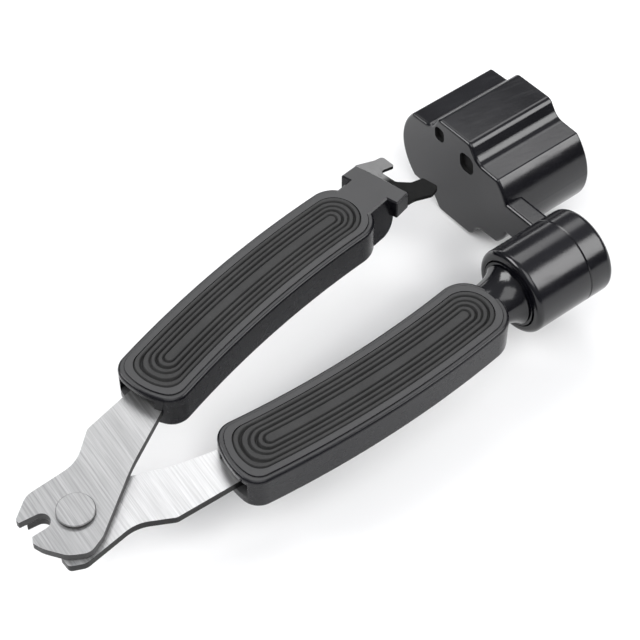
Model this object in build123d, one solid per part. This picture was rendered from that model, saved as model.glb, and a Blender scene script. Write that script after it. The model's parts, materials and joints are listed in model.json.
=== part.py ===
from build123d import *
import os
from math import cos, radians, sin

# Hand tool for changing guitar strings: pliers-style string cutter at one end, and at the
# other a forked bridge-pin puller on one handle and a crank with a peg cup on the other.
#
# Row frame: origin on the pivot axis, in the plane where the two blades meet. +Z is up,
# along the pivot. +X is the line of symmetry between the handles, towards the crank.
#
# Each half of the pliers is drawn in its own half frame: x along the half with the tool
# closed, y positive towards its own side, z up. The puller half then turns up by half the
# opening angle. The winder half is mirrored and turns down by the same angle.
# The crank is drawn in a crank frame: z along the stem, x out along the crank arm.

# ---------------------------------------------------------------- driving dimensions (mm)
HALF_OPENING = 5.37          # degrees that each half stands away from the line of symmetry
CRANK_TURN = -5.05           # degrees that the crank arm hangs below the tool's plane

BLADE_T = 2.0                # thickness of each cutter blade
BLADE_GAP = 0.10             # running gap between the two blades
RUN = 0.05                   # radial running clearance on the pivot and the crank journal
SEAT = 0.02                  # clearance of fixed pins in their holes
AIR = 0.40                   # gap beside turning faces that must not touch

HANDLE_T = 10.2              # handle thickness
HANDLE_W = 18.0              # handle width
EDGE_STEP = 0.4              # the rim of each broad face steps down this far
EDGE_LAND = 1.2              # and is this wide
EDGE_ROUND = 0.8             # rounded outer edge of the rim
PLATEAU_ROUND = 0.2          # rounded edge of the raised face inside the rim
BEND_R = 260.0               # radius of the handle's curved centre line
BEND_X = 68.0                # where the centre line bows out furthest
BEND_Y = 12.7                # and how far out it is there
NEAR_BULGE = 2.2             # how far the blunt near end bows out
FAR_BULGE = 4.0              # how far the rounder far end bows out
BODY_CORNERS = (4.8, 7.0)    # corner radii of the moulding at its near and far ends
PAD_CORNERS = (4.0, 5.6)     # and of the grip pads

PULLER_X = (29.0, 103.8)     # near and far ends of the puller handle
WINDER_X = (31.7, 107.4)     # near and far ends of the winder handle
PULLER_Z = 1.7               # middle height of the puller handle
WINDER_Z = -0.3              # middle height of the winder handle, and of the crank stem

PAD_INSET = 2.7              # land left round each grip pad
PAD_DEPTH = 1.2              # depth of the pad's pocket
PAD_PROUD = 0.3              # height of the pad above the handle face

TANG_END = 64.0              # how deep the blade's tang reaches
TANG_PIN_R = 1.5
TANG_PIN_X = (43.0, 57.0)
TANG_PIN_Y = 11.3
SLOT_DEPTH = 6.0             # wide mouth of the blade slot
SLOT_HIGH = 2.6              # its height above the blade
SLOT_Y = (6.5, 17.0)

RIVET_R = 2.6                # pivot rivet shank
RIVET_HEAD_R = 4.3
RIVET_HEAD_H = 0.9
RIVET_CHAMFER = 0.2
RIVET_TAIL_R = 3.9
RIVET_TAIL_H = 0.7
WASHER_R = 4.6
WASHER_T = 0.4

NOTCH_R = 2.08               # round root of the string notch
NOTCH_X = -6.65
NOTCH_Y = 3.7
NOTCH_HIGH_WALL = 17.4       # degrees that the notch's outer wall leans outwards
NOTCH_LOW_WALL = 10.7        # and its inner wall
NOTCH_REACH = 8.0            # how far the notch's mouth is cut, past the jaw's edge

STEM_X = 112.6               # near face of the crank sleeve, measured along the half frame
STEM_Y = 9.5
STEM_TAIL_R = 3.9            # round tail inside the handle
STEM_TAIL_L = 18.0
STEM_NECK = (                # oval sections of the neck: height, half width, half thickness
    (-7.6, 6.0, 4.7),
    (-5.0, 6.0, 5.2),
    (-2.2, 6.6, 6.4),
    (-0.7, 7.6, 7.6),
)
STEM_GROOVE_R = 7.2          # groove between the neck's flare and the flange
STEM_GROOVE_T = 0.4
STEM_FLANGE_R = 8.3
STEM_FLANGE_T = 1.4
JOURNAL_R = 3.5
JOURNAL_END = 16.8

SLEEVE_R = 10.8              # crank sleeve
SLEEVE_L = 22.8
SLEEVE_SPLIT = 15.9          # seam between the sleeve and the crank moulding
SLEEVE_EDGE = 1.4            # rounded ends of the sleeve
SEAM_BEVEL = 0.25            # small bevel on both sides of the seam
BUSH_R = 5.2
BUSH_FLANGE_R = 6.6
BUSH_FLANGE_T = 1.0
THRUST_T = 0.6
CAP_R = 8.4
CAP_T = 1.4

SCREW_R = 1.5
SCREW_L = 9.0
SCREW_TIP_GAP = 0.5          # room left under the screw's tip
SCREW_HEAD_R = 3.0
SCREW_HEAD_H = 1.7
SCREW_SLOT = 0.8
SCREW_WASHER_R = 5.0
SCREW_WASHER_T = 0.6

ARM_Z = 15.3                 # near face of the arm and of the cup's back
ARM_T = 5.3
ARM_W = 9.6
ARM_ROUND = 1.0              # rounded long edges of the arm
ARM_BITE = (3.0, 2.0)        # how far the arm runs into the hub and into the cup
CUP_X = 38.05                # crank radius: stem axis to cup axis
CUP_L = 25.8
CUP_WALL = 2.4
CUP_BACK = 3.0
CUP_END_X = 20.2             # half length of the cup's stepped oval
END_MID = (19.0, 5.7)        # point half way round its round end
SHOULDER_X = 15.8            # corner where its round end meets the flat shoulder
SHOULDER_Y = 10.4
COVE_X = 8.8                 # foot of the lobe
COVE_Y = 10.7
LOBE_X = 6.1                 # half width of the lobe
LOBE_Y = 15.1
COVE_R = 3.6
LOBE_R = 2.0                 # rounded corners of the lobe
CORNER_R = 1.0
CUP_BACK_ROUND = 0.8         # rounded edge round the cup's closed end
CUP_MOUTH_ROUND = 0.4        # and round its mouth
DIMPLE_DEPTH = 1.2           # shallow recesses in the cup's closed end: x range, y range, corner
DIMPLES = (((3.6, 7.0), (8.6, 12.7), 1.3), ((-7.3, -2.4), (5.4, 10.9), 1.8))

FORK_Z = (2.1, 3.1)          # lower and upper faces of the fork plate
FORK_TANG = (101.5, 7.4, 14.6)   # x of its end, and its two sides
FORK_PIN_R = 1.2
FORK_PIN_X = 105.0
FORK_PIN_Z = (0.2, 5.4)

BLOCK_NECK_X = (99.0, 108.3)     # fork block: neck, wider at its foot than at its top
BLOCK_NECK_Y = (6.0, 16.4)
BLOCK_FOOT_Y = (3.3, 19.0)
BLOCK_FOOT_Z = -1.75
BLOCK_NOSE = ((103.5, -1.75), (106.5, -0.6), (108.3, 2.0))    # x and z of its rounded underside
BLOCK_HEAD = ((105.9, 19.0), (111.0, 18.6), (112.6, 3.4), (108.0, 3.1))
BLOCK_HEAD_Z = 1.7               # underside of the head, whose front leans a little
BLOCK_Y = 11.0
BLOCK_EDGE = 0.35

PULLER_BLADE_Z = BLADE_GAP / 2
WINDER_BLADE_Z = -BLADE_GAP / 2 - BLADE_T


# ---------------------------------------------------------------- placing
def in_puller(shape):
    """From the half frame to the row frame, on the puller side."""
    return shape.rotate(Axis.Z, HALF_OPENING)


def in_winder(shape):
    """From the half frame to the row frame, on the winder side."""
    return mirror(shape, about=Plane.XZ).rotate(Axis.Z, -HALF_OPENING)


def crank_plane():
    """Crank frame in the row frame."""
    swing = radians(HALF_OPENING)
    turn = radians(CRANK_TURN)
    along = Vector(cos(swing), -sin(swing), 0)
    sideways = Vector(sin(swing), cos(swing), 0)
    base = along * STEM_X - sideways * STEM_Y + Vector(0, 0, WINDER_Z)
    arm = sideways * cos(turn) + Vector(0, 0, 1) * sin(turn)
    return Plane(origin=base, x_dir=arm, z_dir=along)


def in_crank(shape):
    """From the crank frame to the row frame."""
    return crank_plane().location * shape


# ---------------------------------------------------------------- small helpers
def prism(face, z_low, z_high):
    """A flat outline raised between two heights."""
    return Pos(0, 0, z_low) * extrude(face, amount=z_high - z_low)


def disc(radius, z_low, z_high, x=0.0, y=0.0):
    """An upright cylinder between two heights."""
    return Pos(x, y, (z_low + z_high) / 2) * Cylinder(radius, z_high - z_low)


def block(x_range, y_range, z_range):
    """A box between three pairs of limits."""
    middle = [(low + high) / 2 for low, high in (x_range, y_range, z_range)]
    spans = [high - low for low, high in (x_range, y_range, z_range)]
    return Pos(*middle) * Box(*spans)


def rounded_outline(corners):
    """A face with straight sides, whose corners (x, y, radius) are rounded."""
    face = make_face(Polyline(*[(x, y) for x, y, _ in corners], close=True))
    for x, y, radius in corners:
        if radius > 0:
            corner = face.vertices().sort_by_distance((x, y, 0))[0]
            face = fillet(corner, radius)
    return face


def broad_edges(solid, z_low, z_high):
    """Edges that lie wholly in one of two horizontal planes."""
    def lies_flat(edge):
        box = edge.bounding_box()
        level = abs(box.max.Z - box.min.Z) < 1e-4
        return level and min(abs(box.min.Z - z_low), abs(box.min.Z - z_high)) < 1e-4
    return solid.edges().filter_by(lies_flat)


# ---------------------------------------------------------------- handles
def beside_centre(x, off):
    """Point at a distance outside the handle's centre line, a shallow arc bowed outwards."""
    turn = (x - BEND_X) / BEND_R
    reach = BEND_R + off
    return (BEND_X + reach * sin(turn), BEND_Y - BEND_R + reach * cos(turn))


def handle_face(x_ends, inset, corners):
    """Outline of a handle, or of its pad when inset: blunt near end, rounder far end."""
    half = HANDLE_W / 2 - inset
    near = x_ends[0] + inset
    far = x_ends[1] - inset
    near_corner = near + NEAR_BULGE
    far_corner = far - FAR_BULGE
    middle = (near_corner + far_corner) / 2
    stations = [(near_corner, half), (middle, half), (far_corner, half), (far, 0),
                (far_corner, -half), (middle, -half), (near_corner, -half), (near, 0), (near_corner, half)]
    points = [beside_centre(x, off) for x, off in stations]
    face = make_face([ThreePointArc(*points[i:i + 3]) for i in (0, 2, 4, 6)])
    for x, radius in zip((near_corner, far_corner), corners):
        for off in (half, -half):
            vertex = face.vertices().sort_by_distance((*beside_centre(x, off), 0))[0]
            face = fillet(vertex, radius)
    return face


def handle_body(x_ends, z_middle, blade_face, blade_z):
    """Handle moulding with its stepped rims, pad pockets, blade slot and pin holes."""
    low = z_middle - HANDLE_T / 2
    high = z_middle + HANDLE_T / 2
    body = prism(handle_face(x_ends, 0, BODY_CORNERS), low + EDGE_STEP, high - EDGE_STEP)
    body = fillet(broad_edges(body, low + EDGE_STEP, high - EDGE_STEP), EDGE_ROUND)
    plateau = prism(handle_face(x_ends, EDGE_LAND, PAD_CORNERS), low, high)
    body += fillet(broad_edges(plateau, low, high), PLATEAU_ROUND)
    pocket = handle_face(x_ends, PAD_INSET, PAD_CORNERS)
    body -= prism(pocket, high - PAD_DEPTH, high + PAD_DEPTH)
    body -= prism(pocket, low - PAD_DEPTH, low + PAD_DEPTH)
    body -= prism(offset(blade_face, SEAT), blade_z - SEAT, blade_z + BLADE_T + SEAT)
    mouth_x = (x_ends[0] - SLOT_DEPTH, x_ends[0] + SLOT_DEPTH)
    body -= block(mouth_x, SLOT_Y, (blade_z - SEAT, blade_z + BLADE_T + SLOT_HIGH))
    for x in TANG_PIN_X:
        body -= disc(TANG_PIN_R + SEAT, low, high, x, TANG_PIN_Y)
    return body


def grip_pad(x_ends, z_middle, sign):
    """Grip pad that fills the pocket in one broad face."""
    face = z_middle + sign * HANDLE_T / 2
    floor = face - sign * PAD_DEPTH
    crown = face + sign * PAD_PROUD
    return prism(handle_face(x_ends, PAD_INSET, PAD_CORNERS), min(floor, crown), max(floor, crown))


def tang_pin(x, z_middle):
    """Plain pin that locks the tang in the moulding, between the two pads."""
    reach = HANDLE_T / 2 - PAD_DEPTH
    return disc(TANG_PIN_R, z_middle - reach, z_middle + reach, x, TANG_PIN_Y)


# ---------------------------------------------------------------- blades
def puller_blade_outline():
    """Jaw, waist, shoulder and tang of the upper blade, before its notch."""
    return rounded_outline([
        (TANG_END, 8.0, 2.0),
        (TANG_END, 15.0, 2.0),
        (16.4, 13.6, 2.2),
        (8.6, 8.9, 9.0),
        (-4.3, 10.9, 5.0),
        (-9.9, 8.0, 0.6),
        (-10.4, 2.3, 0.0),
        (-11.4, 1.1, 0.6),
        (-11.0, -1.4, 6.0),
        (-8.6, -6.6, 6.0),
        (-5.0, -9.6, 3.0),
        (-0.6, -8.7, 4.0),
        (16.0, -0.5, 40.0),
        (39.0, 8.0, 10.0),
    ])


def winder_blade_outline():
    """Outline of the lower blade, whose jaw is shorter."""
    return rounded_outline([
        (TANG_END, 8.0, 2.0),
        (TANG_END, 15.0, 2.0),
        (16.8, 13.05, 2.2),
        (9.0, 8.9, 9.0),
        (-4.7, 10.8, 3.0),
        (-8.05, 9.2, 1.2),
        (-8.05, 2.0, 0.0),
        (-11.0, -1.4, 3.0),
        (-8.6, -6.6, 6.0),
        (-5.0, -9.6, 3.0),
        (-0.6, -8.9, 4.0),
        (15.1, -1.6, 20.0),
        (24.0, 1.9, 40.0),
        (40.0, 5.6, 20.0),
    ])


def notch():
    """Round-bottomed string notch that opens at the jaw's edge."""
    ends = []
    for side, lean in ((1, radians(NOTCH_HIGH_WALL)), (-1, radians(NOTCH_LOW_WALL))):
        root = (NOTCH_X + side * NOTCH_R * sin(lean), NOTCH_Y + side * NOTCH_R * cos(lean))
        mouth = (root[0] - NOTCH_REACH * cos(lean), root[1] + NOTCH_REACH * sin(lean))
        ends.append((root, mouth))
    upper, lower = ends
    walls = make_face(Polyline(upper[0], upper[1], lower[1], lower[0], close=True))
    return Pos(NOTCH_X, NOTCH_Y) * Circle(NOTCH_R) + walls


def as_seen_by_winder(shape):
    """From the puller's half frame to the winder's, with the tool at rest."""
    return mirror(shape.rotate(Axis.Z, 2 * HALF_OPENING), about=Plane.XZ)


def puller_blade():
    """Upper blade, with the string notch."""
    face = puller_blade_outline() - notch() - Circle(RIVET_R + RUN)
    for x in TANG_PIN_X:
        face -= Pos(x, TANG_PIN_Y) * Circle(TANG_PIN_R + SEAT)
    return prism(face, PULLER_BLADE_Z, PULLER_BLADE_Z + BLADE_T)


def winder_blade():
    """Lower blade: its mouth runs from its own notch to where the upper blade's notch lies."""
    middle = Line((NOTCH_X + NOTCH_R, NOTCH_Y), (NOTCH_X - NOTCH_REACH, NOTCH_Y))
    across = as_seen_by_winder(middle)
    own = [middle @ 0, middle @ 1]
    other = [across @ 0, across @ 1]
    between = make_face(Polyline(own[0], own[1], other[1], other[0], close=True))
    face = winder_blade_outline() - notch() - as_seen_by_winder(notch()) - between - Circle(RIVET_R + SEAT)
    for x in TANG_PIN_X:
        face -= Pos(x, TANG_PIN_Y) * Circle(TANG_PIN_R + SEAT)
    return prism(face, WINDER_BLADE_Z, WINDER_BLADE_Z + BLADE_T)


# ---------------------------------------------------------------- pivot
def lower_washer():
    """Washer under the rivet's clenched tail."""
    high = WINDER_BLADE_Z
    return disc(WASHER_R, high - WASHER_T, high) - disc(RIVET_R + SEAT, high - WASHER_T, high)


def pivot_rivet():
    """Flat-headed rivet that holds both blades."""
    head_low = PULLER_BLADE_Z + BLADE_T + RUN
    tail_high = WINDER_BLADE_Z - WASHER_T
    head = disc(RIVET_HEAD_R, head_low, head_low + RIVET_HEAD_H)
    head = chamfer(head.edges().group_by(Axis.Z)[-1], RIVET_CHAMFER)
    tail = disc(RIVET_TAIL_R, tail_high - RIVET_TAIL_H, tail_high)
    tail = chamfer(tail.edges().group_by(Axis.Z)[0], RIVET_CHAMFER)
    return head + tail + disc(RIVET_R, tail_high, head_low)


# ---------------------------------------------------------------- fork
def fork_block():
    """End of the puller handle that holds the fork: flared neck, rounded below, and a wider head."""
    high = PULLER_Z + HANDLE_T / 2
    start, end = BLOCK_NECK_X
    section = make_face(Polyline((BLOCK_NECK_Y[0], high), (BLOCK_NECK_Y[1], high),
                                 (BLOCK_FOOT_Y[1], BLOCK_FOOT_Z), (BLOCK_FOOT_Y[0], BLOCK_FOOT_Z), close=True))
    neck = Pos(start, 0, 0) * extrude(Plane.YZ * section, amount=end - start)
    heel, middle, toe = BLOCK_NOSE
    under = make_face([
        ThreePointArc(heel, middle, toe),
        Polyline(toe, (toe[0] + 1, toe[1]), (toe[0] + 1, heel[1] - 1), (heel[0], heel[1] - 1), heel),
    ])
    neck -= extrude(Plane.XZ * under, amount=2 * HANDLE_W, both=True)
    head = rounded_outline([(x, y, BLOCK_EDGE) for x, y in BLOCK_HEAD])
    shape = neck + prism(head, BLOCK_HEAD_Z, high)
    return chamfer(shape.faces().sort_by(Axis.Z)[-1].edges(), BLOCK_EDGE)


def fork_face():
    """Two unlike prongs round a slot, on a tang."""
    tang_x, tang_low, tang_high = FORK_TANG
    root_x = BLOCK_HEAD[0][0] + 4.5
    return rounded_outline([
        (tang_x, tang_low, 1.0),
        (root_x, tang_low, 0.0),
        (root_x, 3.8, 0.0),
        (114.4, 3.1, 6.0),
        (118.4, 0.8, 1.5),
        (121.4, 1.4, 1.0),
        (121.0, 5.9, 0.6),
        (118.0, 7.1, 1.5),
        (115.7, 10.0, 1.5),
        (115.7, 15.1, 0.8),
        (119.5, 13.7, 0.4),
        (119.8, 17.8, 1.0),
        (117.6, 18.4, 1.5),
        (113.0, 21.0, 1.0),
        (root_x, 18.0, 0.0),
        (root_x, tang_high, 0.0),
        (tang_x, tang_high, 1.0),
    ])


def pin_puller_fork():
    """Bridge-pin puller plate."""
    face = fork_face() - Pos(FORK_PIN_X, BLOCK_Y) * Circle(FORK_PIN_R + SEAT)
    return prism(face, *FORK_Z)


def fork_pin():
    """Pin through the fork's tang, hidden inside the block."""
    return disc(FORK_PIN_R, *FORK_PIN_Z, FORK_PIN_X, BLOCK_Y)


def puller_handle():
    """Puller-side moulding with the fork block."""
    body = handle_body(PULLER_X, PULLER_Z, puller_blade_outline(), PULLER_BLADE_Z)
    pocket = prism(handle_face(PULLER_X, PAD_INSET, PAD_CORNERS), PULLER_Z - HANDLE_T, PULLER_Z + HANDLE_T)
    body += fork_block() - pocket
    body -= prism(offset(fork_face(), SEAT), FORK_Z[0] - SEAT, FORK_Z[1] + SEAT)
    return body - disc(FORK_PIN_R + SEAT, *FORK_PIN_Z, FORK_PIN_X, BLOCK_Y)


# ---------------------------------------------------------------- stem and crank
def stem_solid(grow=0.0):
    """Tail and oval neck of the stem, in the crank frame; grown a little, it cuts its own socket."""
    sections = [Pos(0, 0, z) * Ellipse(wide + grow, thick + grow) for z, wide, thick in STEM_NECK]
    tail_high = (STEM_NECK[0][0] + STEM_NECK[1][0]) / 2
    return loft(sections) + disc(STEM_TAIL_R + grow, -STEM_TAIL_L - grow, tail_high)


def stem_in_handle(shape):
    """From the crank frame to the winder's half frame, whose y runs the other way."""
    placed = crank_plane().location * shape
    return mirror(placed.rotate(Axis.Z, HALF_OPENING), about=Plane.XZ)


def winder_handle():
    """Winder-side moulding with the socket for the stem."""
    body = handle_body(WINDER_X, WINDER_Z, winder_blade_outline(), WINDER_BLADE_Z)
    return body - stem_in_handle(stem_solid(SEAT))


def winder_stem():
    """Flared neck, grooved flange and the journal that the crank turns on."""
    flare = STEM_NECK[-1][0]
    body = stem_solid() + disc(STEM_GROOVE_R, flare, flare + STEM_GROOVE_T)
    body += disc(STEM_FLANGE_R, flare + STEM_GROOVE_T, STEM_FLANGE_T)
    body += disc(JOURNAL_R, STEM_FLANGE_T, JOURNAL_END)
    return body - disc(SCREW_R + SEAT, JOURNAL_END - SCREW_L, JOURNAL_END)


def thrust_washer():
    """Washer between the stem's flange and the sleeve's recess."""
    low = STEM_FLANGE_T
    return disc(STEM_FLANGE_R - AIR, low, low + THRUST_T) - disc(JOURNAL_R + SEAT, low, low + THRUST_T)


def crank_sleeve():
    """Near part of the round sleeve, open at its near face for the stem's flange."""
    recess = STEM_FLANGE_T + THRUST_T + RUN
    body = disc(SLEEVE_R, 0, SLEEVE_SPLIT)
    body = fillet(body.edges().group_by(Axis.Z)[0], SLEEVE_EDGE)
    body = chamfer(body.edges().group_by(Axis.Z)[-1], SEAM_BEVEL)
    body -= disc(STEM_FLANGE_R + AIR, 0, recess)
    body -= disc(BUSH_FLANGE_R + SEAT, recess, recess + BUSH_FLANGE_T)
    return body - disc(BUSH_R + SEAT, recess, SLEEVE_SPLIT)


def crank_bush():
    """Flanged plain bush that turns on the journal."""
    low = STEM_FLANGE_T + THRUST_T + RUN
    high = JOURNAL_END - RUN
    body = disc(BUSH_R, low, high) + disc(BUSH_FLANGE_R, low, low + BUSH_FLANGE_T)
    return body - disc(JOURNAL_R + RUN, low, high)


def cup_face():
    """Stepped oval of the peg cup: flat lobes above and below, coves, shoulders, round ends."""
    end_x, end_y = END_MID
    outline = []
    for sx, sy in ((1, 1), (1, -1), (-1, -1), (-1, 1)):
        points = [(0, LOBE_Y), (LOBE_X, LOBE_Y), (COVE_X, COVE_Y), (SHOULDER_X, SHOULDER_Y)]
        points = [(sx * x, sy * y) for x, y in points]
        outline += [Line(points[0], points[1]), Line(points[1], points[2]), Line(points[2], points[3])]
        outline.append(ThreePointArc(points[3], (sx * end_x, sy * end_y), (sx * CUP_END_X, 0)))
    face = make_face(outline)
    for x, y, radius in ((COVE_X, COVE_Y, COVE_R), (LOBE_X, LOBE_Y, LOBE_R),
                         (SHOULDER_X, SHOULDER_Y, CORNER_R)):
        for sx in (1, -1):
            for sy in (1, -1):
                vertex = face.vertices().sort_by_distance((sx * x, sy * y, 0))[0]
                face = fillet(vertex, radius)
    return face


def crank_cup():
    """Peg cup: rounded closed end with two dimples, open far end."""
    high = ARM_Z + CUP_L
    cup = prism(cup_face(), ARM_Z, high)
    cup = fillet(cup.edges().group_by(Axis.Z)[0], CUP_BACK_ROUND)
    cup = fillet(cup.edges().group_by(Axis.Z)[-1], CUP_MOUTH_ROUND)
    cup -= prism(offset(cup_face(), -CUP_WALL), ARM_Z + CUP_BACK, high)
    for x_range, y_range, radius in DIMPLES:
        corners = [(x_range[i], y_range[j], radius) for i, j in ((0, 0), (1, 0), (1, 1), (0, 1))]
        cup -= prism(rounded_outline(corners), ARM_Z, ARM_Z + DIMPLE_DEPTH)
    return Pos(CUP_X, 0) * cup


def crank_moulding():
    """Hub ring, arm and peg cup in one moulding."""
    arm_x = (SLEEVE_R - ARM_BITE[0], CUP_X - CUP_END_X + ARM_BITE[1])
    arm = block(arm_x, (-ARM_W / 2, ARM_W / 2), (ARM_Z, ARM_Z + ARM_T))
    arm = fillet(arm.edges().filter_by(Axis.X), ARM_ROUND)
    hub = disc(SLEEVE_R, SLEEVE_SPLIT, SLEEVE_L)
    hub = fillet(hub.edges().group_by(Axis.Z)[-1], SLEEVE_EDGE)
    hub = chamfer(hub.edges().group_by(Axis.Z)[0], SEAM_BEVEL)
    body = crank_cup() + (arm - disc(SLEEVE_R, 0, SLEEVE_SPLIT)) + hub
    body -= disc(CAP_R, SLEEVE_L - CAP_T, SLEEVE_L)
    return body - disc(BUSH_FLANGE_R, SLEEVE_SPLIT, SLEEVE_L)


def crank_cap():
    """Plug that closes the far end of the sleeve over the screw."""
    return disc(CAP_R - SEAT, SLEEVE_L - CAP_T, SLEEVE_L)


def screw_washer():
    """Washer that keeps the crank on the stem."""
    low = JOURNAL_END
    return disc(SCREW_WASHER_R, low, low + SCREW_WASHER_T) - disc(SCREW_R + SEAT, low, low + SCREW_WASHER_T)


def crank_screw():
    """Pan-head screw into the end of the stem."""
    head_low = JOURNAL_END + SCREW_WASHER_T
    head = disc(SCREW_HEAD_R, head_low, head_low + SCREW_HEAD_H)
    head -= block((-SCREW_HEAD_R, SCREW_HEAD_R), (-SCREW_SLOT / 2, SCREW_SLOT / 2),
                  (head_low + SCREW_HEAD_H - SCREW_SLOT, head_low + SCREW_HEAD_H))
    return head + disc(SCREW_R, JOURNAL_END - SCREW_L + SCREW_TIP_GAP, head_low)


# ---------------------------------------------------------------- assembly
def build_parts():
    """Every node of the tool, in the row frame."""
    parts = {
        "puller_handle": in_puller(puller_handle()),
        "puller_blade": in_puller(puller_blade()),
        "pin_puller_fork": in_puller(pin_puller_fork()),
        "fork_pin": in_puller(fork_pin()),
        "winder_handle": in_winder(winder_handle()),
        "winder_blade": in_winder(winder_blade()),
        "pivot_rivet": pivot_rivet(),
        "pivot_washer_lower": lower_washer(),
        "winder_stem": in_crank(winder_stem()),
        "thrust_washer": in_crank(thrust_washer()),
        "crank_sleeve": in_crank(crank_sleeve()),
        "crank_bush": in_crank(crank_bush()),
        "crank_moulding": in_crank(crank_moulding()),
        "crank_cap": in_crank(crank_cap()),
        "screw_washer": in_crank(screw_washer()),
        "crank_screw": in_crank(crank_screw()),
    }
    for side, sign in (("top", 1), ("bottom", -1)):
        parts["puller_pad_" + side] = in_puller(grip_pad(PULLER_X, PULLER_Z, sign))
        parts["winder_pad_" + side] = in_winder(grip_pad(WINDER_X, WINDER_Z, sign))
    for name, x in zip(("front", "rear"), TANG_PIN_X):
        parts["puller_tang_pin_" + name] = in_puller(tang_pin(x, PULLER_Z))
        parts["winder_tang_pin_" + name] = in_winder(tang_pin(x, WINDER_Z))
    return parts


def main():
    os.makedirs("parts", exist_ok=True)
    parts = build_parts()
    for name, shape in parts.items():
        export_step(shape, os.path.join("parts", name + ".step"))
    frame = crank_plane()
    print("nodes", len(parts))
    print("crank axis point", frame.origin, "direction", frame.z_dir, "arm", frame.x_dir)
    whole = Compound(children=list(parts.values())).bounding_box()
    print("size", whole.size)


if __name__ == "__main__":
    main()
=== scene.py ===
import json
from math import atan2, cos, pi, radians, sin, sqrt

import bmesh
import bpy
from mathutils import Matrix, Vector


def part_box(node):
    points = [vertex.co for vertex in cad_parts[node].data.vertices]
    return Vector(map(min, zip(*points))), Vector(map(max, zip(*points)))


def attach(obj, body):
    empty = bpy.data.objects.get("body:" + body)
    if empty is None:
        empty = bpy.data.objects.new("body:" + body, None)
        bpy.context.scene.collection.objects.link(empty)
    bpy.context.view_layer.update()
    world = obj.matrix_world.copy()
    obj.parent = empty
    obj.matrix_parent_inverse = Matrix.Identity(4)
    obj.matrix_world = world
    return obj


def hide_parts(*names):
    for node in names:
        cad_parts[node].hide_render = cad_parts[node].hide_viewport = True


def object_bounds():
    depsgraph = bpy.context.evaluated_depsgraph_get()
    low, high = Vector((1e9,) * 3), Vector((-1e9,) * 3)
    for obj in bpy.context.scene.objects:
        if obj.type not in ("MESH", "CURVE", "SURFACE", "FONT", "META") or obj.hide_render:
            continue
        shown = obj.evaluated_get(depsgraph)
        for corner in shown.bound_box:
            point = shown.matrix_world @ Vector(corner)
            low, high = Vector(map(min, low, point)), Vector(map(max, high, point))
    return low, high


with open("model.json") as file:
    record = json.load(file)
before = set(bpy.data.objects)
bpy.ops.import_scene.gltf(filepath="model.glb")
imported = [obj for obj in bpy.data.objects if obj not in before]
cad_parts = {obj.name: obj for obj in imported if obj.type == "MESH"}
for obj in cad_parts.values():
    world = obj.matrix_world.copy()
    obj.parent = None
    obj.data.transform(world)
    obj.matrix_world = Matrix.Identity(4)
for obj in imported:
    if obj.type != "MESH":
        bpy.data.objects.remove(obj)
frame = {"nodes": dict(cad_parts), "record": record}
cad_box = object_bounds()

# Looks for the string winder: camera, soft studio light, finishes, and grip pads with moulded
# grooves in place of the plain CAD pads. Lengths are in metres, in the frame of the CAD model.

MM = 0.001


# ---------------------------------------------------------------- camera
def aim(obj, position, heading, pitch, roll=0.0):
    """Points an object's -Z along a heading and a downward pitch, in degrees."""
    h, p, r = radians(heading), radians(pitch), radians(roll)
    forward = Vector((cos(p) * cos(h), cos(p) * sin(h), -sin(p)))
    level = Vector((sin(h), -cos(h), 0.0))
    up = level.cross(forward)
    right = level * cos(r) - up * sin(r)
    top = right.cross(forward)
    turned = Matrix((right, top, -forward)).transposed().to_4x4()
    obj.matrix_world = Matrix.Translation(position) @ turned


SENSOR_WIDTH = 36.0              # millimetres, like the lens
LENS = 108.88
CAMERA_AT = Vector((-0.11212, -0.19918, 0.34654))

camera_data = bpy.data.cameras.new("camera")
camera_data.sensor_width = SENSOR_WIDTH
camera_data.lens = LENS
camera_data.clip_start = 0.01
camera_data.clip_end = 20.0
camera = bpy.data.objects.new("camera", camera_data)
bpy.context.scene.collection.objects.link(camera)
aim(camera, CAMERA_AT, heading=47.53, pitch=51.53, roll=0.45)
bpy.context.scene.camera = camera


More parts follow.
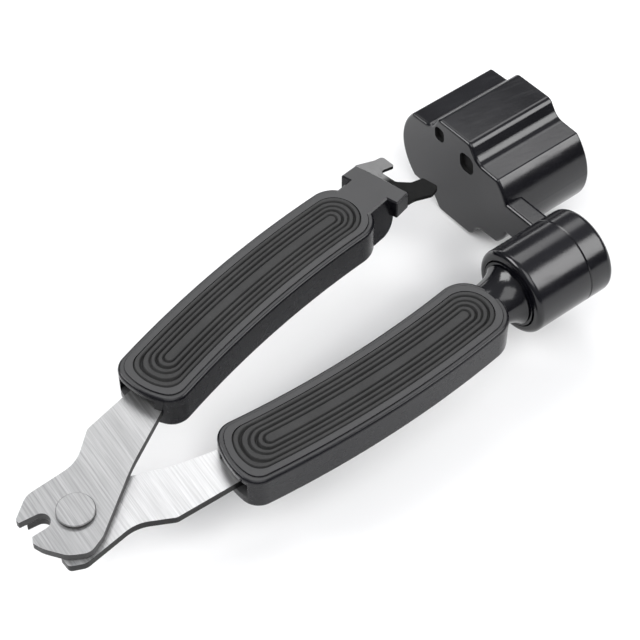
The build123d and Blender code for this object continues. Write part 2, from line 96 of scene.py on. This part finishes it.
# ---------------------------------------------------------------- node helpers
class Finish:
    """A material under construction: short calls that add and join its nodes."""

    def __init__(self, name):
        self.material = bpy.data.materials.new(name)
        self.material.use_nodes = True
        self.tree = self.material.node_tree
        self.shader = self.tree.nodes["Principled BSDF"]
        self.place = self.tree.nodes.new("ShaderNodeTexCoord").outputs["Object"]

    def set(self, **values):
        """Constant shader inputs; underscores in a name stand for spaces."""
        for name, value in values.items():
            self.shader.inputs[name.replace("_", " ")].default_value = value

    def link(self, output, name):
        self.tree.links.new(output, self.shader.inputs[name])

    def node(self, kind, inputs=(), **settings):
        made = self.tree.nodes.new(kind)
        for key, value in settings.items():
            setattr(made, key, value)
        for index, value in inputs:
            if isinstance(value, bpy.types.NodeSocket):
                self.tree.links.new(value, made.inputs[index])
            else:
                made.inputs[index].default_value = value
        return made

    def mapped(self, scale, turn=0.0):
        """Object coordinates turned about Z by some degrees, then scaled along each axis."""
        turned = self.node("ShaderNodeVectorRotate", [(0, self.place), (3, radians(turn))],
                           rotation_type="Z_AXIS")
        return self.node("ShaderNodeVectorMath", [(0, turned.outputs[0]), (1, scale)],
                         operation="MULTIPLY").outputs[0]

    def noise(self, scale, turn=0.0, detail=3.0, rough=0.5):
        """Noise whose grain is 1/scale metres along each axis."""
        made = self.node("ShaderNodeTexNoise", [(0, self.mapped(scale, turn)), ("Scale", 1.0),
                                                ("Detail", detail), ("Roughness", rough)])
        return made.outputs["Fac"]

    def spread(self, value, low, high, from_low=0.3, from_high=0.7):
        """Stretches the middle of a noise to a new range."""
        made = self.node("ShaderNodeMapRange", [(0, value), (1, from_low), (2, from_high),
                                                (3, low), (4, high)])
        return made.outputs[0]

    def math(self, operation, a, b=0.0):
        return self.node("ShaderNodeMath", [(0, a), (1, b)], operation=operation).outputs[0]

    def mix(self, share, a, b):
        """Mix of two colours."""
        made = self.node("ShaderNodeMix", [(0, share), (6, a), (7, b)], data_type="RGBA")
        return made.outputs[2]

    def bump(self, height, distance, strength=1.0, under=None):
        """Bump of a height field, in metres, over another bump."""
        inputs = [("Height", height), ("Distance", distance), ("Strength", strength)]
        if under is not None:
            inputs.append(("Normal", under))
        return self.node("ShaderNodeBump", inputs).outputs["Normal"]

    def facing(self, low, high):
        """0 on side faces, 1 on faces that look up or down the tool's Z."""
        normal = self.node("ShaderNodeTexCoord").outputs["Normal"]
        height = self.node("ShaderNodeSeparateXYZ", [(0, normal)]).outputs["Z"]
        return self.spread(self.math("ABSOLUTE", height), 0.0, 1.0, low, high)


def grey(value, blue=0.0):
    return (value, value, value + blue, 1.0)


# ---------------------------------------------------------------- finishes
def moulded_plastic(name, base, rough, satin_and_painted_sheen, gloss_level, recess=None):
    """Black moulded plastic: faint orange peel, uneven gloss, and a few fine rub marks.

    The fourth argument is how much rougher the up-facing faces are; when given, those faces are also
    painted lighter, a painted sheen. recess gives the mask of shade painted black into hollows of the
    shape."""
    m = Finish(name)
    m.set(Specular_IOR_Level=gloss_level)
    peel = m.noise((520.0, 520.0, 520.0), detail=2.0)
    grain = m.noise((4200.0, 4200.0, 4200.0), detail=2.0)
    rubs = m.noise((90.0, 1500.0, 900.0), turn=18.0, detail=4.0)
    cloud = m.noise((70.0, 70.0, 70.0), detail=3.0)
    tone = m.mix(m.spread(cloud, 0.0, 1.0), grey(base * 0.85, 0.0012), grey(base * 1.2, 0.002))
    wear_and_painted_light = m.mix(m.spread(rubs, 0.0, 0.35, 0.58, 0.8), tone, grey(base * 2.2, 0.003))
    # painted sheen: faces that look up or down the tool's Z are painted a lighter grey
    if satin_and_painted_sheen:
        wear_and_painted_light = m.mix(m.facing(0.9, 0.995), wear_and_painted_light, grey(0.05, 0.001))
    # painted shade: the hollows given by recess are painted black
    if recess:
        painted_hollow_shade = recess(m)
        wear_and_painted_light = m.mix(painted_hollow_shade, wear_and_painted_light, grey(0.0))
    m.link(wear_and_painted_light, "Base Color")
    uneven = m.spread(cloud, rough - 0.03, rough + 0.05)
    shine = m.math("ADD", uneven, m.spread(rubs, 0.0, 0.08, 0.5, 0.8))
    if satin_and_painted_sheen:
        shine = m.math("ADD", shine, m.math("MULTIPLY", m.facing(0.9, 0.995), satin_and_painted_sheen))
    if recess:
        shine = m.math("MAXIMUM", shine, painted_hollow_shade)
    m.link(shine, "Roughness")
    normal = m.bump(peel, 0.02 * MM, 0.35)
    m.link(m.bump(grain, 0.004 * MM, 0.6, normal), "Normal")
    return m.material


def grip_rubber():
    """Matte rubber with a fine grain and pale dust specks."""
    m = Finish("grip_rubber_grain")
    m.set(Specular_IOR_Level=0.35)
    grain = m.noise((3200.0, 3200.0, 3200.0), detail=4.0, rough=0.65)
    cloud = m.noise((110.0, 110.0, 110.0), detail=3.0)
    tone = m.mix(m.spread(cloud, 0.0, 1.0), grey(0.022), grey(0.032))
    speck = m.mix(m.spread(grain, 0.0, 0.5, 0.45, 0.75), tone, grey(0.055))
    m.link(speck, "Base Color")
    m.link(m.spread(grain, 0.62, 0.8), "Roughness")
    m.link(m.bump(grain, 0.05 * MM, 0.8), "Normal")
    return m.material


def ground_steel(name, base, edge):
    """Stainless sheet ground across its length; its side faces are coloured almost black and not
    metallic.
    """
    m = Finish(name)
    m.set(Specular_IOR_Level=0.2)
    streak = m.noise((2400.0, 55.0, 400.0), turn=BRUSH_TURN, detail=4.0, rough=0.65)
    broad = m.noise((650.0, 28.0, 200.0), turn=BRUSH_TURN, detail=3.0)
    cloud = m.noise((40.0, 40.0, 40.0), detail=2.0)
    face = m.mix(m.spread(streak, 0.0, 1.0, 0.36, 0.64), grey(base * 0.72), grey(base * 1.12))
    face = m.mix(m.spread(broad, 0.0, 0.4, 0.4, 0.75), face, grey(base * 0.84))
    face = m.mix(m.spread(cloud, 0.0, 0.3, 0.4, 0.8), face, grey(base * 1.15))
    flat = m.facing(0.5, 0.9)
    m.link(m.mix(flat, grey(edge), face), "Base Color")
    m.link(flat, "Metallic")
    shine = m.math("ADD", m.spread(streak, 0.3, 0.42), m.spread(broad, 0.0, 0.06))
    m.link(shine, "Roughness")
    m.link(m.bump(streak, 0.012 * MM, 0.5), "Normal")
    return m.material


def turned_steel():
    """Plain small steel parts."""
    m = Finish("turned_steel")
    m.set(Metallic=1.0)
    fine = m.noise((900.0, 900.0, 2600.0), detail=3.0)
    m.link(m.mix(m.spread(fine, 0.0, 1.0), grey(0.42), grey(0.56)), "Base Color")
    m.link(m.spread(fine, 0.22, 0.36), "Roughness")
    m.link(m.bump(fine, 0.008 * MM, 0.4), "Normal")
    return m.material


def blackened_steel(highlight_from, highlight_to):
    """Black-finished plate with a painted highlight towards one side, where it is painted lighter and
    made metallic.
    """
    m = Finish("blackened_steel")
    m.set(Specular_IOR_Level=0.06)
    fine = m.noise((1500.0, 500.0, 900.0), detail=4.0, rough=0.6)
    # painted highlight: the flat faces are painted lighter and made metallic towards one side
    side = m.node("ShaderNodeSeparateXYZ", [(0, m.place)]).outputs["Y"]
    painted_highlight = m.spread(side, 0.0, 1.0, highlight_from, highlight_to)
    painted_highlight = m.math("MULTIPLY", painted_highlight, m.spread(fine, 0.75, 1.0, 0.25, 0.5))
    painted_highlight = m.math("MULTIPLY", painted_highlight, m.facing(0.6, 0.9))
    m.link(m.mix(painted_highlight, grey(0.006), grey(0.14)), "Base Color")
    m.link(painted_highlight, "Metallic")
    m.link(m.spread(fine, 0.28, 0.42), "Roughness")
    m.link(m.bump(fine, 0.01 * MM, 0.4), "Normal")
    return m.material


def acetal():
    """Natural white bearing plastic."""
    m = Finish("acetal")
    cloud = m.noise((300.0, 300.0, 300.0))
    m.link(m.mix(cloud, (0.78, 0.77, 0.72, 1.0), (0.86, 0.85, 0.81, 1.0)), "Base Color")
    m.link(m.spread(cloud, 0.45, 0.55), "Roughness")
    m.link(m.bump(cloud, 0.01 * MM, 0.4), "Normal")
    return m.material


BRUSH_TURN = 9.0                 # degrees between the grinding marks and the tool's Y
CRANK_TURN = radians(-5.05)      # the crank arm hangs a little below the tool's plane
BACK_OF_CUP = 15.3 * MM          # from the sleeve's near face, along the crank's axis
CUP_X = 38.05 * MM               # from the crank's axis, along its arm
# the next three place the shade painted inside the cup's two recesses
DIMPLE_MIDDLE = 0.6 * MM         # half the depth of the two recesses
DIMPLE_START = (0.1 * MM, 0.3 * MM)
DIMPLES = ((5.3, 10.65, 2.9), (-4.85, 8.15, 3.9))    # middles and radii, in millimetres
FORK_HIGHLIGHT = (0.52, 0.62)            # where the fork's black gives way to a painted highlight, start and full, as shares of its width

spin = next(j for j in frame["record"]["behaviour"]["joints"] if j["name"] == "crank_spin")
crank_base = Vector(spin["pos_m"])
crank_axis = Vector(spin["axis"]).normalized()
across = Vector((-crank_axis.y, crank_axis.x, 0.0))
crank_arm = across * cos(CRANK_TURN) + Vector((0.0, 0.0, sin(CRANK_TURN)))
crank_up = crank_axis.cross(crank_arm)


def dimple_painted_shade(m):
    """1 inside the two recesses of the cup's closed end: the mask of the shade painted black there."""
    place = m.node("ShaderNodeVectorMath", [(0, m.place), (1, crank_base)], operation="SUBTRACT")
    from_base = place.outputs[0]
    along = m.node("ShaderNodeVectorMath", [(0, from_base), (1, crank_axis)], operation="DOT_PRODUCT")
    start, full = (BACK_OF_CUP + step for step in DIMPLE_START)
    depth = m.spread(along.outputs["Value"], 0.0, 1.0, start, full)
    inside = 0.0
    for x, y, radius in DIMPLES:
        middle = crank_axis * (BACK_OF_CUP + DIMPLE_MIDDLE)
        middle += crank_arm * (CUP_X + x * MM) + crank_up * (y * MM)
        away = m.node("ShaderNodeVectorMath", [(0, from_base), (1, middle)], operation="DISTANCE")
        near = m.spread(away.outputs["Value"], 1.0, 0.0, (radius - 0.3) * MM, radius * MM)
        inside = m.math("MAXIMUM", near, inside)
    return m.math("MULTIPLY", depth, inside)


nodes = frame["nodes"]
fork_low, fork_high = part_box("pin_puller_fork")
fork_span = fork_high[1] - fork_low[1]
highlight_start, highlight_full = (fork_low[1] + share * fork_span for share in FORK_HIGHLIGHT)
satin = moulded_plastic("satin_black", 0.004, 0.24, 0.16, 0.25)
gloss = moulded_plastic("gloss_black", 0.003, 0.16, 0.0, 0.45)
# the cup's gloss plastic, with painted shade in its two recesses
gloss_cup = moulded_plastic("gloss_black_cup", 0.003, 0.16, 0.0, 0.45, dimple_painted_shade)
rubber = grip_rubber()
# one ground steel in two copies: the lower blade is painted lighter and the upper darker, painted
# light and shade
upper_steel = ground_steel("upper_blade_steel", 0.46, 0.03)
lower_steel = ground_steel("lower_blade_steel", 0.66, 0.006)
plain_steel = turned_steel()
fork_steel = blackened_steel(highlight_start, highlight_full)
bearing = acetal()

FINISHES = {
    "puller_handle": satin, "winder_handle": satin, "winder_stem": gloss,
    "crank_sleeve": gloss, "crank_moulding": gloss_cup, "crank_cap": gloss,
    "puller_blade": upper_steel, "pivot_rivet": upper_steel, "winder_blade": lower_steel,
    "pivot_washer_lower": lower_steel, "pin_puller_fork": fork_steel, "crank_bush": bearing,
}
for name, obj in nodes.items():
    finish = FINISHES.get(name, rubber if "_pad_" in name else plain_steel)
    obj.data.materials.clear()
    obj.data.materials.append(finish)


# ---------------------------------------------------------------- grip pads
HALF_OPENING = radians(5.37)     # each half stands this far from the line of symmetry
BEND_R = 260.0                   # handle's curved centre line, in millimetres
BEND_X = 68.0
BEND_Y = 12.7
PAD_HALF = 6.3                   # half width of a pad
PAD_INSET = 2.7                  # land between the pad and the handle's outline
NEAR_BULGE = 2.2                 # the pad's blunt near end and rounder far end
FAR_BULGE = 4.0
NEAR_CORNER = 4.0
FAR_CORNER = 5.6
HANDLE_T = 10.2
PAD_DEPTH = 1.18                 # pad's seat below the handle's face
PAD_CROWN = 0.30                 # ridge tops above it
RING_STEP = 0.07                 # between loops of the pad's mesh
SPINE = 0.3                      # half width of the flat strip along the pad's middle
THIN = 0.001                     # keeps curves from closing up
ARC_STEPS = 12
SIDE_STEPS = 40
GROOVE_FLARE = 0.7               # below 1, a groove has a rounder bottom
GROOVES = (                      # inset from the pad's edge, depth, half width
    (0.05, 0.80, 0.24),
    (1.25, 1.10, 0.34),
    (2.55, 0.75, 0.26),
    (3.75, 1.10, 0.34),
    (5.00, 0.85, 0.28),
)
SHEAR_NEAR = 1.36                # the loops lie further apart at the two ends
SHEAR_FAR = 1.18


def end_curve(end, half, bulge, corner, toward):
    """Points round a blunt end, from one side to the other: corner arc, end arc, corner arc.

    end is where the end arc crosses the centre line, and toward is +1 where the pad lies beyond it."""
    corner = min(corner, half - THIN)
    end_r = (half * half + bulge * bulge) / (2 * bulge)
    centre = end + toward * end_r
    reach = sqrt((end_r - corner) ** 2 - (half - corner) ** 2)
    corner_x = centre - toward * reach
    lean = atan2(half - corner, reach)
    points = []
    for i in range(ARC_STEPS + 1):
        angle = pi / 2 - (pi / 2 - lean) * i / ARC_STEPS
        points.append((corner_x - toward * corner * cos(angle), half - corner + corner * sin(angle)))
    for i in range(1, ARC_STEPS + 1):
        angle = lean * (1 - i / ARC_STEPS)
        points.append((centre - toward * end_r * cos(angle), end_r * sin(angle)))
    return points + [(x, -y) for x, y in reversed(points[:-1])]


def ring(x_ends, inset):
    """Outline of the pad at an inset from its edge, as (x, y) in the handle's half frame."""
    half = PAD_HALF - inset
    near = x_ends[0] + PAD_INSET + SHEAR_NEAR * inset
    far = x_ends[1] - PAD_INSET - SHEAR_FAR * inset
    bulges = []
    for bulge in (NEAR_BULGE, FAR_BULGE):
        end_r = (PAD_HALF ** 2 + bulge ** 2) / (2 * bulge) - inset
        end_r = max(end_r, half * (1 + THIN))
        bulges.append(max(end_r - sqrt(end_r ** 2 - half ** 2), THIN))
    first = end_curve(near, half, bulges[0], NEAR_CORNER, 1)
    last = end_curve(far, half, bulges[1], FAR_CORNER, -1)
    start, stop = first[-1][0], last[-1][0]
    lower = [(start + (stop - start) * i / SIDE_STEPS, -half) for i in range(1, SIDE_STEPS)]
    start, stop = last[0][0], first[0][0]
    upper = [(start + (stop - start) * i / SIDE_STEPS, half) for i in range(1, SIDE_STEPS)]
    outline = first + lower + list(reversed(last)) + upper
    bent = []
    for x, off in outline:
        turn = (x - BEND_X) / BEND_R
        r = BEND_R + off
        bent.append((BEND_X + r * sin(turn), BEND_Y - BEND_R + r * cos(turn)))
    return bent


def ridge_height(inset):
    """Height of the pad's face above the handle's, at an inset from the pad's edge."""
    dip = 0.0
    for place, depth, width in GROOVES:
        dip = max(dip, depth * max(0.0, 1 - ((inset - place) / width) ** 2) ** GROOVE_FLARE)
    return PAD_CROWN - dip


def grooved_pad(name, x_ends, side, z_middle, sign):
    """Closed pad: nested loops from the edge to the spine, walls down to the seat, flat back."""
    mesh = bmesh.new()
    face_z = z_middle + sign * HANDLE_T / 2
    levels = [(0.0, -PAD_DEPTH)]
    inset = 0.0
    while inset < PAD_HALF - SPINE:
        levels.append((inset, ridge_height(inset)))
        inset += RING_STEP
    c, s = cos(side * HALF_OPENING), sin(side * HALF_OPENING)
    loops = []
    for inset, height in levels:
        loop = []
        for x, y in ring(x_ends, inset):
            y *= side
            z = face_z + sign * height
            loop.append(mesh.verts.new(Vector((x * c - y * s, x * s + y * c, z)) * MM))
        loops.append(loop)
    for outer, inner in zip(loops, loops[1:]):
        for i in range(len(outer)):
            j = (i + 1) % len(outer)
            mesh.faces.new((outer[i], outer[j], inner[j], inner[i]))
    mesh.faces.new(loops[0])
    mesh.faces.new(list(reversed(loops[-1])))
    bmesh.ops.recalc_face_normals(mesh, faces=mesh.faces[:])
    data = bpy.data.meshes.new(name)
    mesh.to_mesh(data)
    mesh.free()
    for polygon in data.polygons:
        polygon.use_smooth = len(polygon.vertices) == 4
    pad = bpy.data.objects.new(name, data)
    bpy.context.scene.collection.objects.link(pad)
    data.materials.append(rubber)
    return pad


# ends along the centre line, side of the line of symmetry, height of the handle's middle
HANDLES = {"puller": ((29.0, 103.8), 1, 1.7), "winder": ((31.7, 107.4), -1, -0.3)}
for half_name, (x_ends, side, z_middle) in HANDLES.items():
    for face_name, sign in (("top", 1), ("bottom", -1)):
        pad = grooved_pad(half_name + "_grip_" + face_name, x_ends, side, z_middle, sign)
        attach(pad, half_name + "_half")
        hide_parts(half_name + "_pad_" + face_name)


# ---------------------------------------------------------------- floor and light
FLOOR_HALF = 3.0
FLOOR_TONE = 0.86
FLOOR_GAP = 0.2 * MM             # below the lowest point of the tool
SKY_RISE = (0.15, 0.85)          # upward part of the direction, from dim to full light
SKY_LIGHT = (0.15, 0.55)
SKY_COLOUR = (0.95, 0.96, 1.0, 1.0)

low, high = cad_box
centre = (Vector(low) + Vector(high)) / 2


def pale_floor():
    m = Finish("pale_floor")
    haze = m.noise((3.0, 3.0, 3.0))
    m.link(m.mix(haze, grey(FLOOR_TONE * 0.99), grey(FLOOR_TONE)), "Base Color")
    m.set(Roughness=0.8, Specular_IOR_Level=0.1)
    return m.material


floor_mesh = bmesh.new()
bmesh.ops.create_grid(floor_mesh, x_segments=2, y_segments=2, size=FLOOR_HALF)
floor_data = bpy.data.meshes.new("floor")
floor_mesh.to_mesh(floor_data)
floor_mesh.free()
floor = bpy.data.objects.new("floor", floor_data)
floor.location = (centre.x, centre.y, low[2] - FLOOR_GAP)
floor_data.materials.append(pale_floor())
bpy.context.scene.collection.objects.link(floor)


def soft_box(name, heading, pitch, distance, size, radiance):
    """Area light that shines along a heading and downward pitch through the tool's middle."""
    data = bpy.data.lights.new(name, "AREA")
    data.shape = "RECTANGLE"
    data.size, data.size_y = size
    data.energy = radiance * pi * size[0] * size[1]
    light = bpy.data.objects.new(name, data)
    bpy.context.scene.collection.objects.link(light)
    h, p = radians(heading), radians(pitch)
    forward = Vector((cos(p) * cos(h), cos(p) * sin(h), -sin(p)))
    aim(light, centre - forward * distance, heading, pitch)


soft_box("far_box", 225.0, 49.0, 0.9, (0.46, 0.32), 3.2)
soft_box("right_box", 132.0, 40.0, 0.9, (0.42, 0.5), 7.5)
soft_box("low_strip", 235.0, 8.0, 0.9, (0.65, 0.11), 2.4)
soft_box("left_box", 312.0, 38.0, 0.9, (0.5, 0.4), 9.0)
soft_box("front_box", 47.5, 62.0, 1.2, (0.9, 0.9), 3.0)

world = bpy.data.worlds.new("studio")
world.use_nodes = True
sky = world.node_tree
toward = sky.nodes.new("ShaderNodeTexCoord").outputs["Generated"]
height = sky.nodes.new("ShaderNodeSeparateXYZ")
sky.links.new(toward, height.inputs[0])
rise = sky.nodes.new("ShaderNodeMapRange")
for index, value in enumerate(SKY_RISE + SKY_LIGHT, start=1):
    rise.inputs[index].default_value = value
sky.links.new(height.outputs["Z"], rise.inputs[0])
sky.links.new(rise.outputs[0], sky.nodes["Background"].inputs["Strength"])
sky.nodes["Background"].inputs["Color"].default_value = SKY_COLOUR
bpy.context.scene.world = world
bpy.context.scene.view_settings.view_transform = "Standard"
